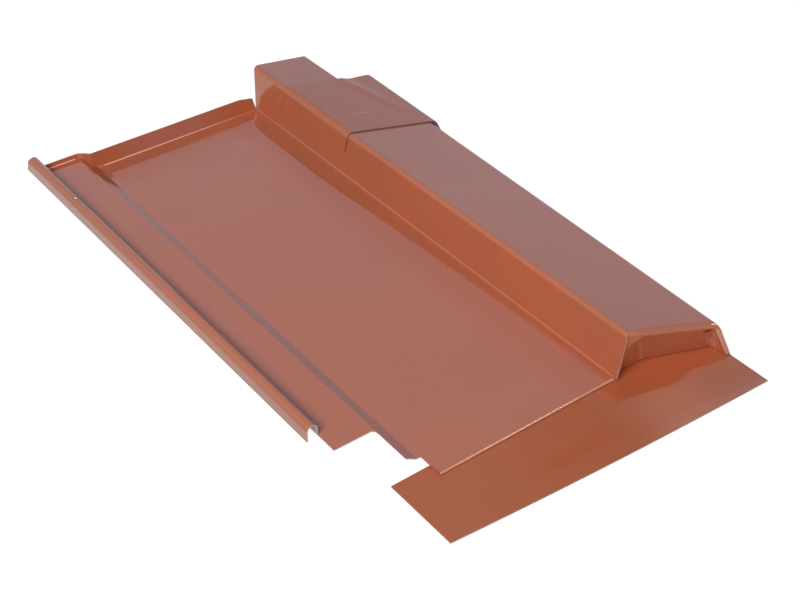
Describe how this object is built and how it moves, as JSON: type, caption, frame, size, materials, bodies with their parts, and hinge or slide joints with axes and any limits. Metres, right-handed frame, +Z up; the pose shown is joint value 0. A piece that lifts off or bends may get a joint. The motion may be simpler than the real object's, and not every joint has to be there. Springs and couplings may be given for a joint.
{
  "type": "metal solar roof tile",
  "caption": "Coated sheet-metal roof tile with a flat pan, a raised ledge with a folded water bar, a hollow side hump with a cap sheet, and a loose front apron.",
  "frame": {"origin": "centre of the footprint, on the ground plane that the apron lies on", "axes": "+X from the water bar to the hump, +Y from the front apron to the back upstand, +Z up"},
  "size_m": [0.2744, 0.492, 0.0416],
  "materials": {
    "sheet_coating": "glossy terracotta coating",
    "cap_coating": "glossy terracotta coating",
    "apron_coating": "glossy terracotta coating, slightly wavy"
  },
  "bodies": {
    "root": {"tile_sheet": "sheet_coating", "hump_cap": "cap_coating", "front_apron": "apron_coating"}
  },
  "joints": []
}
